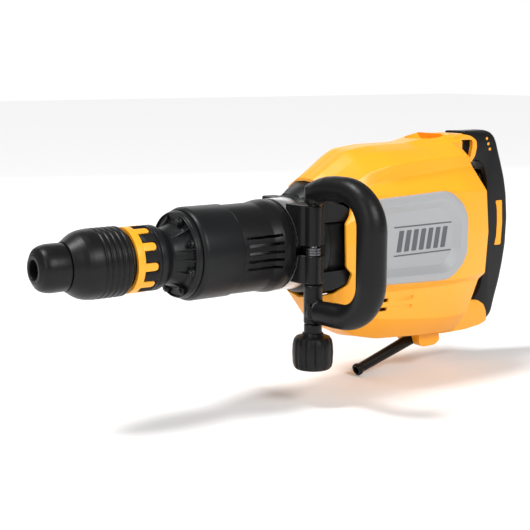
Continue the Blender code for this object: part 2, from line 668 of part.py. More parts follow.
def handle_half(sign):
    levels = ((0.15, 0.0),) + HANDLE_ROUNDING
    loops = []
    for half, amount in levels:
        outline = HANDLE_ROOT + tuple(drawn_in(HANDLE_BACK, amount)) + HANDLE_GAP
        loops.append([(x, sign * half, z) for x, z in outline])
    return loft(loops)


def inlay_outline(low_x, high_x, half_height):
    """A strip of (x, z) bowed towards the back of the handle."""
    rise = half_height * 0.6
    back = [(high_x - 2, half_height), (high_x, 0), (high_x - 2, -half_height)]
    front = [(low_x, -half_height), (low_x + 3, -rise), (low_x + 4, 0), (low_x + 3, rise), (low_x, half_height)]
    return back + front


def rear_handle(parent):
    """Two moulded halves with a yellow strip let into each side, on a pin at the foot and a damper at the top."""
    for side, sign in (("left", -1), ("right", 1)):
        half = add("rear_handle_" + side, handle_half(sign), "black_plastic", parent, HANDLE_AXIS)
        cut(half, box((630, -10, -42), (677, 10, 72)))
        cut(half, rod(5.3, -60, 60, "Y", (PIVOT_X, PIVOT_Z), 12))
        inner, outer = sorted((sign * (HANDLE_HALF - 1.5), sign * 30))
        cut(half, slab(inlay_outline(660, 676, 31), inner, outer))
        inner, outer = sorted((sign * (HANDLE_HALF - 1.2), sign * (HANDLE_HALF + 0.6)))
        strip = slab(inlay_outline(661, 675, 30), inner, outer)
        add("handle_inlay_" + side, strip, "yellow", parent, HANDLE_AXIS)
    add("switch_module", box((665.5, -9.6, -12), (676.5, 9.6, 40)), "black_plastic", parent, HANDLE_AXIS)
    add("damper_block", box((572, -16, 88.6), (587, 16, 95.5)), "rubber", parent)
    pin = rod(5.0, -CHEEK_Y + 0.5, CHEEK_Y - 0.5, "Y", (PIVOT_X, PIVOT_Z), 12)
    add("handle_pivot_pin", pin, "steel", parent)


def trigger(parent):
    """Long finger bar in the front of the rear grip, hung from its upper end, and the lock button below it."""
    outline = [(636, 66), (654, 70), (658, 60), (657, -24), (653, -36), (637, -38), (635, -20), (634, 30)]
    add("trigger", slab(outline, -9.2, 9.2), "black_plastic", parent, TRIGGER_AXIS)
    add("lock_on_button", box((655.5, -6, -41.5), (661, 6, -38.6)), "yellow", parent)


# --- cord entry -----------------------------------------------------------------------------------
def strain_relief(parent, cord_frame):
    """Rubber sleeve where the cord enters, hollow and belled at its free end, leaning down to the front."""
    profile = [(-107, 4.6), (-107, 8.0), (-101, 8.0), (-99, 6.2), (-6, 7.6), (0, 8.0), (10, 8.0), (10, 4.2),
               (-99, 4.2)]
    add("strain_relief", turned(profile, segments=18), "rubber", cord_frame)
    add("cord_clamp", box((556, -9, -123), (566, 9, -117)), "black_plastic", parent)


def electronics(parent):
    """Speed controller beside the motor's upper bearing."""
    add("control_board", box((579, -28, -40), (583, 28, 40)), "board_green", parent)


# --- assembly -------------------------------------------------------------------------------------
def build():
    clear_scene()
    middle = (SIDE_REACH + PANEL_REACH) / 2.0
    root = empty("hammer", (-LENGTH / 2.0, -middle, -FOOT_Z))
    swing = math.radians(-90.0 + D_SWING_DEG)
    bolt_frame = empty("axis_bolt", (CLAMP_X, CLAMP_Y, 0), root, (0.0, 0.0, swing))
    lean = math.radians(-CORD_LEAN_DEG)
    cord_frame = empty("axis_cord", (CORD_X, 0, CORD_Z), root, (0.0, lean, 0.0))
    dust_cap(root)
    tool_holder(root)
    locking_segments(root)
    lock_sleeve(root)
    sleeve_spring(root)
    angle_ring(root)
    striking_train(root)
    cylinder(root)
    crank_drive(root)
    idler(root)
    motor(root)
    front_housing(root)
    barrel(root)
    side_clamp(root)
    d_handle(bolt_frame)
    clamp_knob(bolt_frame)
    for side, sign in (("left", -1), ("right", 1)):
        shell(side, sign, root, cord_frame)
        side_panel(side, sign, root)
    gear_case(root)
    gear_cover(root)
    rear_handle(root)
    trigger(root)
    strain_relief(root, cord_frame)
    electronics(root)


build()
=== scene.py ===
"""Looks of the demolition hammer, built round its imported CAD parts.

Shapes are drawn in millimetres in the tool frame: origin on the tool axis at the tip of the nose, +X back to
the rear handle, -Y towards the side handle, +Z up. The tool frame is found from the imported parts.
"""

import json
import math

import bmesh
import bpy
from mathutils import Matrix, Vector


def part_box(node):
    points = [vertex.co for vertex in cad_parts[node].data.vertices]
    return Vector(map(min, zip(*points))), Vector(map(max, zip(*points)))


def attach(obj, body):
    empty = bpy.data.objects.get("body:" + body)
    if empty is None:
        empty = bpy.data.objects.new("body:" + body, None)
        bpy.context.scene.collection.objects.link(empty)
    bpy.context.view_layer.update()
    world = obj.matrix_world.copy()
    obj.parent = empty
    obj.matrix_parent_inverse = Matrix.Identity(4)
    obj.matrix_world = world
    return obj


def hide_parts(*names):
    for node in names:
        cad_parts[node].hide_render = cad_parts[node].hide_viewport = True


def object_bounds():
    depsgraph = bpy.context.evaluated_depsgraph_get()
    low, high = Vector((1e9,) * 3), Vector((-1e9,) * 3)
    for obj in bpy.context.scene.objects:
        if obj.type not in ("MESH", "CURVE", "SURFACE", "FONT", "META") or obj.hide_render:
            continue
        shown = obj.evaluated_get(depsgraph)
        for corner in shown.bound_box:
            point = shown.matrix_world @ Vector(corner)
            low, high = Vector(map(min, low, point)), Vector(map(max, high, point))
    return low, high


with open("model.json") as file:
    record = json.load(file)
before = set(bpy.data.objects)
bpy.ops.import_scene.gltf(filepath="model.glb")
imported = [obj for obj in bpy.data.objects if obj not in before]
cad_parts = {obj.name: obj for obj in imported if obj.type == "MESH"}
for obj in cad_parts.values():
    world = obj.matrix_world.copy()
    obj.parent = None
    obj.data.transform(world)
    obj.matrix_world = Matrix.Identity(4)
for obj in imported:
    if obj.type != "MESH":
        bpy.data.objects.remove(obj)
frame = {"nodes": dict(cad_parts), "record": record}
CAD_LOW, CAD_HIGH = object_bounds()

MM = 0.001
SHOW = bpy.context.scene.collection

NOSE_LOW, NOSE_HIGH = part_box("dust_cap")
TOOL = Vector((NOSE_LOW.x, (NOSE_LOW.y + NOSE_HIGH.y) / 2.0, (NOSE_LOW.z + NOSE_HIGH.z) / 2.0))


def in_tool_frame(corner):
    """A place in the shared frame, as millimetres in the tool frame."""
    return (corner - TOOL) / MM


def span(node):
    """Lowest and highest corner of a CAD node, in the tool frame's millimetres."""
    low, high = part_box(node)
    return in_tool_frame(low), in_tool_frame(high)


# --- places read from the frame, millimetres -----------------------------------------------------------
CAP_BACK = span("dust_cap")[1].x
SLEEVE_FRONT, SLEEVE_BACK = span("lock_sleeve")[0].x, span("lock_sleeve")[1].x
SLEEVE_R = span("lock_sleeve")[1].z
RING_FRONT, RING_TIP = span("angle_ring")[0].x, span("angle_ring")[1].x
RING_R = span("angle_ring")[1].y
RING_BACK = span("angle_ring_grip")[1].x
CASTING_FRONT, CASTING_BACK = span("front_housing")[0].x, span("front_housing")[1].x
BARREL_FRONT, BARREL_SPLIT = span("barrel_front")[0].x, span("barrel_front")[1].x
BARREL_R = span("barrel_front")[1].y
REAR_START, BARREL_BACK = span("barrel_rear")[0].x, span("barrel_rear")[1].x
REAR_R = span("barrel_rear")[1].y
BAND_FRONT, BAND_BACK = span("clamp_band")[0].x, span("clamp_band")[1].x
BOLT = span("clamp_spacer")
BOLT_X, BOLT_Y = (BOLT[0].x + BOLT[1].x) / 2.0, (BOLT[0].y + BOLT[1].y) / 2.0
JAW_TOP, JAW_BOTTOM = span("clamp_jaw_upper")[1].z, span("clamp_jaw_lower")[0].z
HUB_BOTTOM = span("d_handle")[0].z
KNOB_BOTTOM = span("clamp_knob")[0].z
SHELL_FRONT = round(span("housing_left")[0].x, 1)
SHELL_BACK = SHELL_FRONT + 246.0
HANDLE_HALF = round(span("rear_handle_right")[1].y, 1)

# --- sizes that several pieces share, millimetres ------------------------------------------------------
TABS = 10
TAB_STEP = 360.0 / TABS
FIRST_TAB = 24.5
JAW_GAP = 5.4
SEAM = 0.15
WALL = 3.0
CHEEK = 27.0
CORD_X, CORD_Z, CORD_LEAN = 538.0, -141.0, -17.0


# --- building blocks -----------------------------------------------------------------------------------
def rounded(points, radius, steps=4, closed=True):
    """A polygon whose corners are each replaced by a short curve."""
    out = []
    last = len(points) - 1
    for i, point in enumerate(points):
        if not closed and i in (0, last):
            out.append(tuple(point))
            continue
        here = Vector(point)
        before = Vector(points[i - 1]) - here
        after = Vector(points[(i + 1) % len(points)]) - here
        reach = min(radius, 0.45 * before.length, 0.45 * after.length)
        start = here + before.normalized() * reach
        stop = here + after.normalized() * reach
        for k in range(steps + 1):
            t = k / steps
            out.append(tuple((1 - t) ** 2 * start + 2 * t * (1 - t) * here + t * t * stop))
    return out


def loft(loops, closed_run=False, open_loops=False):
    """Skins a run of loops that have the same count of points, and caps its ends if it is a solid."""
    mesh = bmesh.new()
    rings = [[mesh.verts.new(point) for point in loop] for loop in loops]
    pairs = list(zip(rings, rings[1:]))
    if closed_run:
        pairs.append((rings[-1], rings[0]))
    count = len(rings[0])
    for first, second in pairs:
        for i in range(count - 1 if open_loops else count):
            j = (i + 1) % count
            mesh.faces.new((first[i], first[j], second[j], second[i]))
    if not closed_run and not open_loops:
        mesh.faces.new(rings[0])
        mesh.faces.new(rings[-1])
    return mesh


def merged(*meshes):
    """One bmesh holding all the shapes."""
    whole = meshes[0]
    for other in meshes[1:]:
        index = {}
        for vert in other.verts:
            index[vert] = whole.verts.new(vert.co)
        for face in other.faces:
            whole.faces.new([index[vert] for vert in face.verts])
        other.free()
    return whole


def polar(x, radius, degrees):
    """A point round the tool axis. Angles run from +Z towards -Y."""
    angle = math.radians(degrees)
    return (x, -radius * math.sin(angle), radius * math.cos(angle))


def turned(profile, segments=96, place=None):
    """A closed profile of (along, radius) turned round the tool axis, or round the axis that place makes."""
    loops = []
    for step in range(segments):
        degrees = 360.0 * step / segments
        loops.append([polar(along, radius, degrees) for along, radius in profile])
    mesh = loft(loops, closed_run=True)
    if place is not None:
        mesh.transform(place)
    return mesh


def rod(radius, low, high, place, segments=32, edge=0.6):
    """A solid bar with eased ends along the axis that place makes."""
    rows = [(low, radius - edge), (low + edge, radius), (high - edge, radius), (high, radius - edge)]
    loops = [[polar(along, r, 360.0 * i / segments) for i in range(segments)] for along, r in rows]
    mesh = loft(loops)
    mesh.transform(place)
    return mesh


def upright(x, y):
    """Turns the tool axis to point up through (x, y)."""
    return Matrix.Translation((x, y, 0.0)) @ Matrix.Rotation(math.radians(-90.0), 4, "Y")


def slab(outline, low, high, axis="Y"):
    """An outline of (x, z) pushed along Y, or of (x, y) pushed along Z."""
    loops = []
    for along in (low, high):
        if axis == "Y":
            loops.append([(a, along, b) for a, b in outline])
        else:
            loops.append([(a, b, along) for a, b in outline])
    return loft(loops)


def sided(outline, sign, near, far, radius=3.0):
    """A rounded slab between two distances from the middle plane, on the side that sign gives."""
    low, high = sorted((sign * near, sign * far))
    return slab(rounded(outline, radius), low, high)


def block(low, high):
    """A box between two opposite corners."""
    corners = [(low[0], low[1]), (high[0], low[1]), (high[0], high[1]), (low[0], high[1])]
    return slab(corners, low[2], high[2], "Z")


def blend_of(first, second, share):
    """An outline part of the way from one to another."""
    return [(a + (c - a) * share, b + (d - b) * share) for (a, b), (c, d) in zip(first, second)]


def helper(mesh):
    """An object in the tool frame that is used for shaping only."""
    bmesh.ops.recalc_face_normals(mesh, faces=mesh.faces)
    data = bpy.data.meshes.new("helper")
    mesh.to_mesh(data)
    mesh.free()
    made = bpy.data.objects.new("helper", data)
    SHOW.objects.link(made)
    return made


def settle(shape):
    """Applies the modifiers of a helper and gives the helper back."""
    graph = bpy.context.evaluated_depsgraph_get()
    graph.update()
    data = bpy.data.meshes.new_from_object(shape.evaluated_get(graph))
    shape.modifiers.clear()
    shape.data = data
    return shape


def shaped(shape, joins=(), cuts=()):
    """Unites and cuts a helper with bmeshes, one after another."""
    tools = []
    for operation, meshes in (("UNION", joins), ("DIFFERENCE", cuts)):
        for mesh in meshes:
            tool = helper(mesh)
            tools.append(tool)
            change = shape.modifiers.new("change", "BOOLEAN")
            change.operation = operation
            change.solver = "EXACT"
            change.object = tool
    settle(shape)
    for tool in tools:
        bpy.data.objects.remove(tool, do_unlink=True)
    return shape


def melted(shape, voxel, passes):
    """Runs the parts of a helper into one skin with soft fillets."""
    remesh = shape.modifiers.new("remesh", "REMESH")
    remesh.mode = "VOXEL"
    remesh.voxel_size = voxel
    smooth = shape.modifiers.new("smooth", "SMOOTH")
    smooth.factor = 0.5
    smooth.iterations = passes
    return settle(shape)


def eased(shape, width, sharp):
    """Bevels the edges of a piece that are sharper than an angle in degrees."""
    rim = shape.modifiers.new("edges", "BEVEL")
    rim.width = width
    rim.segments = 3
    rim.limit_method = "ANGLE"
    rim.angle_limit = math.radians(sharp)
    rim.use_clamp_overlap = True
    return settle(shape)


def piece(name, shape, body, nodes, look, bevel=0.0, sharp=35.0):
    """Makes a visible piece from a bmesh or a helper, riding on a body and standing for CAD nodes."""
    made = helper(shape) if isinstance(shape, bmesh.types.BMesh) else shape
    made.name = name
    made.data.name = name
    made.data.transform(Matrix.Translation(TOOL) @ Matrix.Scale(MM, 4))
    made.data.materials.clear()
    made.data.materials.append(look)
    if bevel:
        eased(made, bevel * MM, sharp)
    made.data.shade_smooth()
    made.data.set_sharp_from_angle(angle=math.radians(sharp))
    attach(made, body)
    if nodes:
        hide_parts(*nodes)
    return made


# --- materials -----------------------------------------------------------------------------------------
GRAIN_DEPTH = 0.0004


def node_of(tree, kind, **inputs):
    """A shader node with some of its inputs set."""
    made = tree.nodes.new(kind)
    for name, value in inputs.items():
        made.inputs[name.replace("_", " ")].default_value = value
    return made


def surface(name, colour, roughness, metallic=0.0, grain=700.0, relief=0.12, mottling=0.08,
            stretch=(1, 1, 1), dust=0.0, shine=0.5):
    """A material with fine relief, uneven gloss and slight changes of colour, all from object noise."""
    look = bpy.data.materials.new(name)
    look.use_nodes = True
    tree = look.node_tree
    shader = tree.nodes["Principled BSDF"]
    shader.inputs["Metallic"].default_value = metallic
    shader.inputs["Specular IOR Level"].default_value = shine
    coords = tree.nodes.new("ShaderNodeTexCoord")
    scale = node_of(tree, "ShaderNodeMapping", Scale=stretch)
    tree.links.new(coords.outputs["Object"], scale.inputs["Vector"])
    fine = node_of(tree, "ShaderNodeTexNoise", Scale=grain, Detail=3.0, Roughness=0.6)
    broad = node_of(tree, "ShaderNodeTexNoise", Scale=14.0, Detail=4.0, Roughness=0.55)
    for noise in (fine, broad):
        tree.links.new(scale.outputs["Vector"], noise.inputs["Vector"])
    relief_node = node_of(tree, "ShaderNodeBump", Strength=relief, Distance=GRAIN_DEPTH)
    tree.links.new(fine.outputs["Fac"], relief_node.inputs["Height"])
    tree.links.new(relief_node.outputs["Normal"], shader.inputs["Normal"])
    tint = tree.nodes.new("ShaderNodeMix")
    tint.data_type = "RGBA"
    tint.inputs["A"].default_value = (*[c * (1.0 - mottling) for c in colour], 1.0)
    tint.inputs["B"].default_value = (*[min(c * (1.0 + mottling) + dust, 1.0) for c in colour], 1.0)
    tree.links.new(broad.outputs["Fac"], tint.inputs["Factor"])
    tree.links.new(tint.outputs["Result"], shader.inputs["Base Color"])
    gloss = node_of(tree, "ShaderNodeMapRange", From_Min=0.3, From_Max=0.7, To_Min=roughness - 0.05,
                    To_Max=roughness + 0.07)
    tree.links.new(fine.outputs["Fac"], gloss.inputs["Value"])
    tree.links.new(gloss.outputs["Result"], shader.inputs["Roughness"])
    return look


LOOKS = {
    "yellow": surface("yellow_plastic", (0.93, 0.375, 0.010), 0.36, grain=1500.0, relief=0.05, mottling=0.03),
    "black_plastic": surface("black_plastic", (0.006, 0.006, 0.0066), 0.35, grain=1300.0, relief=0.14,
                             dust=0.001, shine=0.2),
    "rubber": surface("rubber", (0.005, 0.005, 0.0055), 0.36, grain=900.0, relief=0.16, dust=0.0015,
                      shine=0.2),
    "grey_plastic": surface("grey_plastic", (0.34, 0.345, 0.355), 0.42, grain=1500.0, relief=0.05,
                            mottling=0.03),
    "black_casting": surface("black_casting", (0.0068, 0.0072, 0.008), 0.36, grain=520.0, relief=0.22,
                             dust=0.0015, shine=0.2),
    "steel": surface("brushed_steel", (0.72, 0.72, 0.73), 0.30, 1.0, grain=420.0, relief=0.10,
                     stretch=(18, 1, 1)),
    "dark_steel": surface("oiled_steel", (0.13, 0.13, 0.14), 0.36, 1.0, grain=600.0, relief=0.12),
    "aluminium": surface("machined_aluminium", (0.66, 0.67, 0.69), 0.36, 1.0, stretch=(12, 1, 1)),
    "copper_brown": surface("varnished_windings", (0.45, 0.18, 0.08), 0.42, 0.5, stretch=(1, 1, 8)),
    "board_green": surface("circuit_board", (0.02, 0.14, 0.06), 0.50, grain=300.0, relief=0.2),
}
MARK = surface("dark_mark", (0.085, 0.088, 0.095), 0.50, grain=1200.0, relief=0.08)


# --- nose and chisel holder ----------------------------------------------------------------------------
def nose_cap():
    """Rubber cap with the hole for the chisel."""
    bore, seat, step = 10.6, 20.4, 13.2
    profile = [(0, bore), (0, 15.4), (1.6, 17.0), (3.4, 20.8), (5.4, 22.9), (9, 24.5), (15, 25.7), (24, 25.8),
               (CAP_BACK, 25.6), (CAP_BACK, seat), (step, seat), (step, bore)]
    piece("nose_cap", turned(rounded(profile, 1.4)), "holder", ["dust_cap"], LOOKS["rubber"])


def lock_sleeve():
    """Rubber sleeve that flares back to a band of ribs."""
    front, bore = SLEEVE_FRONT + 0.2, 20.4
    first_rib, rib_step, ribs = 65.0, 6.6, 5
    profile = [(front, bore), (front, 26.2), (36.5, 27.8), (40, 30.2), (43.6, 32.8), (48, 35.2), (54, 37.0),
               (61, 37.8)]
    for rib in range(ribs):
        start = first_rib + rib_step * rib
        profile += [(start, SLEEVE_R - 0.1), (start + 0.9, SLEEVE_R - 1.1), (start + 2.0, SLEEVE_R - 1.2),
                    (start + 3.2, SLEEVE_R - 0.1)]
    profile += [(97.0, SLEEVE_R - 0.3), (SLEEVE_BACK, 35.6), (SLEEVE_BACK, 31.0), (60, 31.0), (60, bore)]
    piece("sleeve", turned(rounded(profile, 0.9, 3)), "sleeve", ["lock_sleeve"], LOOKS["rubber"])


def tab(low_x, high_x, half_deg, inner, outer, middle, tip):
    """A tongue lying round the tool axis, with its far end rounded over a length of tip."""
    loops = []
    rows = 18
    edge = 0.5
    shares = (-1, -0.93, -0.6, -0.2, 0.2, 0.6, 0.93, 1)
    for row in range(rows + 1):
        x = low_x + (high_x - low_x) * row / rows
        left = min(max(high_x - x, 0.0) / tip, 1.0)
        half = half_deg * (math.sqrt(max(1.0 - (1.0 - left) ** 2, 0.0)) * 0.94 + 0.06)
        end_fall = edge if row in (0, rows) else 0.0
        loop = []
        for share in shares:
            side_fall = edge if abs(share) == 1 else 0.0
            loop.append(polar(x, outer - end_fall - side_fall, middle + half * share))
        loop += [polar(x, inner, middle + half * share) for share in reversed(shares)]
        loops.append(loop)
    return loft(loops)


def grip_pad(low_x, high_x, middle):
    """A rubber pad between two tabs, with fine grooves along it."""
    loops = []
    ridges, ridge_steps = 7, 4
    half_deg, foot_r = 9.7, 33.5
    widths = (0.72, 0.93) + (1.0,) * 7
    last_row, last_step = len(widths) - 1, ridges * ridge_steps
    for row, width in enumerate(widths):
        x = low_x + (high_x - low_x) * row / last_row
        wide = half_deg * width
        fall = 0.8 if row in (0, last_row) else 0.0
        points = []
        for step in range(last_step + 1):
            across = -1.0 + 2.0 * step / last_step
            groove_depth = 0.35 * (1.0 - math.cos(2.0 * math.pi * step / ridge_steps)) / 2.0
            edge = 0.7 if step in (0, last_step) else 0.0
            points.append(polar(x, RING_R - 0.1 - groove_depth - edge - fall, middle + wide * across))
        points += [polar(x, foot_r, middle + wide), polar(x, foot_r, middle - wide)]
        loops.append(points)
    return loft(loops)


def ring():
    """Yellow ring with its tongues, and the rubber collar with a pad between each two of them."""
    bore = 31.5
    root = RING_FRONT + 8.6
    band = turned(rounded([(RING_FRONT, bore), (RING_FRONT, RING_R), (root, RING_R), (root, bore)], 0.7))
    tabs = []
    pads = []
    for index in range(TABS):
        middle = FIRST_TAB + TAB_STEP * index
        tabs.append(tab(root - 1.0, RING_TIP, 7.3, 34.5, RING_R, middle, 4.6))
        pads.append(grip_pad(root + 0.6, RING_BACK, middle + TAB_STEP / 2.0))
    piece("angle_ring_band", merged(band, *tabs), "holder", ["angle_ring"], LOOKS["yellow"])
    base = [(root + 0.4, bore), (root + 0.4, 34.2), (RING_BACK - 4, 34.2), (RING_BACK - 3, 36.0),
            (RING_BACK, 36.0), (RING_BACK, bore)]
    body = turned(rounded(base, 0.4, 2))
    piece("angle_ring_pads", merged(body, *pads), "holder", ["angle_ring_grip"], LOOKS["rubber"])


# --- casting and barrel --------------------------------------------------------------------------------
# Angle round the tool axis and thickness of each web, and the angle of each screw boss.
WEBS = ((-18, 1.3), (42, 1.5), (74, 1.3), (92, 1.8), (116, 1.3), (152, 1.5), (200, 1.3), (250, 1.3),
        (300, 1.3))
BOSSES = (20.0, 66.0, 110.0, 200.0, 290.0, 155.0)


def web(degrees, thick):
    """A thin rib from the neck of the casting out to its flange."""
    outline = [(151, 30.4), (158, 33.4), (166, 39.6), (171.5, 47.0), (171.5, 31.0)]
    mesh = slab(rounded(outline, 1.5, 2), -thick / 2.0, thick / 2.0)
    mesh.transform(Matrix.Rotation(math.radians(degrees), 4, "X"))
    return mesh


def screw_boss(degrees):
    """A round boss on the flange with a screw head in it."""
    _, y, z = polar(0.0, 41.5, degrees)
    place = Matrix.Translation((0.0, y, z))
    rim = rounded([(165.5, 1.6), (165.5, 4.6), (172, 5.2), (172, 1.6)], 0.5, 2)
    return [turned(rim, 24, place), rod(2.4, 163.5, 166.5, place, 6, 0.2)]


def casting():
    """Black casting with a waisted neck, webs out to its flange and screw bosses."""
    front, flange = CASTING_FRONT, CASTING_FRONT + 43.0
    profile = [(front, 26.2), (front, 35.8), (front + 1.0, 36.2), (139.6, 36.2), (142, 35.3), (145, 33.2),
               (149, 31.2), (153, 31.1), (168, 36.2), (170.5, 40), (170.5, 47.4), (172, 49.0), (flange, 49.0),
               (flange, 36.2), (CASTING_BACK, 36.2), (CASTING_BACK, 26.2)]
    lip = [(168.5, 46.2), (168.5, 47.4), (171, 48.4), (171, 46.2)]
    parts = [turned(rounded(profile, 1.0, 3)), turned(rounded(lip, 0.4, 2))]
    parts += [web(degrees, thick) for degrees, thick in WEBS]
    for degrees in BOSSES:
        parts += screw_boss(degrees)
    piece("nose_casting", merged(*parts), "housing", ["front_housing"],
          LOOKS["black_casting"])


def barrel_front():
    """Smooth black sleeve round the front of the cylinder."""
    front, back, bore = BARREL_FRONT + 0.2, BARREL_SPLIT - 0.2, 46.2
    profile = [(front, bore), (front, 49.6), (BARREL_FRONT + 2.0, 51.4), (BARREL_FRONT + 5.0, BARREL_R),
               (BARREL_SPLIT - 0.9, BARREL_R), (back, 51.9), (back, bore)]
    piece("barrel_front_sleeve", turned(rounded(profile, 1.2), 128), "housing", ["barrel_front"],
          LOOKS["black_casting"])


def barrel_rear():
    """Black sleeve behind the front one, with a row of slots on the side handle's side."""
    profile = [(REAR_START, 46.5), (REAR_START, 50.6), (REAR_START + 0.8, 51.3), (272, 51.6), (279, 53.2),
               (285, REAR_R), (291.5, REAR_R), (292.6, 53.6), (298.6, 53.4), (BARREL_BACK, 51.8),
               (BARREL_BACK, 30.4), (292, 30.4), (292, 46.5)]
    shape = helper(turned(rounded(profile, 1.0), 128))
    front, back, half = 236, 283, 1.7
    plan = [(front, -half), (back, -half), (back, half), (front, half)]
    slots = []
    for index in range(5):
        slot = slab(rounded(plan, 1.6), 44.0, 58.0, "Z")
        slot.transform(Matrix.Rotation(math.radians(69.5 + 10.0 * index), 4, "X"))
        slots.append(slot)
    shaped(shape, cuts=slots)
    piece("barrel_rear_sleeve", shape, "housing", ["barrel_rear"], LOOKS["black_plastic"],
          bevel=0.35)


# --- side handle ---------------------------------------------------------------------------------------
def steel_band():
    """Steel strap round the barrel, open where the jaws meet."""
    profile = [(BAND_FRONT, 51.8), (BAND_FRONT, 54.4), (BAND_BACK, 54.4), (BAND_BACK, 51.8)]
    shape = helper(turned(rounded(profile, 0.6, 2), 128))
    shaped(shape, cuts=[block((BAND_FRONT - 3, -62, -7), (BAND_BACK + 3, -30, 7))])
    piece("steel_band", shape, "side_clamp", ["clamp_band"], LOOKS["steel"])


def jaw(name, node, low, high):
    """One black jaw of the clamp, with its bolt barrel and a rib, hollowed to sit on the barrel."""
    plan = [(BAND_FRONT - 0.4, -57.5), (BAND_FRONT - 0.4, -29), (BAND_BACK + 4, -29), (BAND_BACK + 4, -66),
            (BAND_FRONT + 8, -69)]
    bolt_barrel = rod(9.15, low, high, upright(BOLT_X, BOLT_Y), 40, 0.8)
    rib = rod(3.4, low, high, upright(BOLT_X + 10.5, BOLT_Y - 1.0), 24, 0.8)
    shape = helper(merged(slab(rounded(plan, 3.0), low, high, "Z"), bolt_barrel, rib))
    melted(shape, 0.9, 4)
    seat = [(280, 1), (280, 54.9), (326, 54.9), (331.5, 59), (337, 62.6), (350, 62.6), (350, 1)]
    shaped(shape, cuts=[turned(rounded(seat, 0.5, 2), 96)])
    piece(name, shape, "side_clamp", [node], LOOKS["black_plastic"])


def spacer():
    """Three dark rings on the bolt between the jaws."""
    inner, outer, thick = 4.6, 8.4, 2.6
    rings = []
    for low in (-4.8, -1.9, 1.1):
        profile = [(low, inner), (low, outer), (low + thick, outer), (low + thick, inner)]
        rings.append(turned(rounded(profile, 0.6, 2), 48, upright(BOLT_X, BOLT_Y)))
    piece("spacer", merged(*rings), "side_clamp", ["clamp_spacer"], LOOKS["dark_steel"])


def clamp():
    """The clamp that holds the side handle on the barrel."""
    steel_band()
    jaw("upper_jaw", "clamp_jaw_upper", JAW_GAP, JAW_TOP - 0.1)
    jaw("lower_jaw", "clamp_jaw_lower", JAW_BOTTOM + 0.1, -JAW_GAP)
    spacer()


GRIP_TURN = math.radians(-82.0)
GRIP_TOP, GRIP_FOOT, GRIP_DEPTH, GRIP_CORNER = 73.0, -70.0, 86.7, 42.0
ARM_R, GRIP_R = 14.2, 16.9


def grip_path():
    """Middle line of the D-shaped grip, as (out, up, radius)."""
    path = [(-3.0, GRIP_TOP - 8.0, 11.4), (4.0, GRIP_TOP - 5.6, 12.6), (12.0, GRIP_TOP - 3.0, 13.4),
            (22.0, GRIP_TOP - 0.9, ARM_R - 0.2), (34.0, GRIP_TOP, ARM_R)]
    steps = 12
    swell = GRIP_R - ARM_R
    middle = GRIP_DEPTH - GRIP_CORNER
    for k in range(steps + 1):
        angle = math.radians(90.0 - 90.0 * k / steps)
        path.append((middle + GRIP_CORNER * math.cos(angle),
                     GRIP_TOP - GRIP_CORNER + GRIP_CORNER * math.sin(angle), ARM_R + swell * k / steps))
    for k in range(steps + 1):
        angle = math.radians(-90.0 * k / steps)
        path.append((middle + GRIP_CORNER * math.cos(angle),
                     GRIP_FOOT + GRIP_CORNER + GRIP_CORNER * math.sin(angle), GRIP_R - swell * k / steps))
    path += [(34.0, GRIP_FOOT, ARM_R), (16.0, GRIP_FOOT, 13.6), (4.0, GRIP_FOOT, 12.8),
             (-3.0, GRIP_FOOT, 12.0)]
    return path


def bar_along(path, sides=28):
    """A round bar that follows a path of (out, up, radius)."""
    loops = []
    for i, (x, z, radius) in enumerate(path):
        ahead, behind = path[min(i + 1, len(path) - 1)], path[max(i - 1, 0)]
        heading = math.atan2(ahead[1] - behind[1], ahead[0] - behind[0])
        loop = []
        for side in range(sides):
            angle = 2.0 * math.pi * side / sides
            out = radius * math.cos(angle)
            loop.append((x - math.sin(heading) * out, radius * math.sin(angle), z + math.cos(heading) * out))
        loops.append(loop)
    return loft(loops)


def side_grip():
    """The D-shaped grip, run into its two hubs with soft fillets."""
    hub = Matrix.Rotation(math.radians(-90.0), 4, "Y")
    hub_r = 10.8
    upper_hub = rod(hub_r, JAW_TOP + 0.3, 76.5, hub, 40, 4.0)
    lower_hub = rod(hub_r, HUB_BOTTOM + 0.2, JAW_BOTTOM - 0.3, hub, 40, 0.6)
    nub = rod(2.6, -9.0, 9.0, Matrix.Translation((6.0, -13.0, GRIP_FOOT + 4.0)) @ hub, 20, 1.0)
    whole = merged(bar_along(grip_path()), upper_hub, lower_hub, nub)
    whole.transform(Matrix.Translation((BOLT_X, BOLT_Y, 0.0)) @ Matrix.Rotation(GRIP_TURN, 4, "Z"))
    shape = melted(helper(whole), 1.1, 8)
    jaw_room = block((BOLT_X - 30, BOLT_Y - 22, JAW_BOTTOM - 0.4), (BOLT_X + 12, BOLT_Y + 30, JAW_TOP + 0.4))
    shaped(shape, cuts=[jaw_room])
    piece("side_grip", shape, "side_grip", ["d_handle"], LOOKS["rubber"])


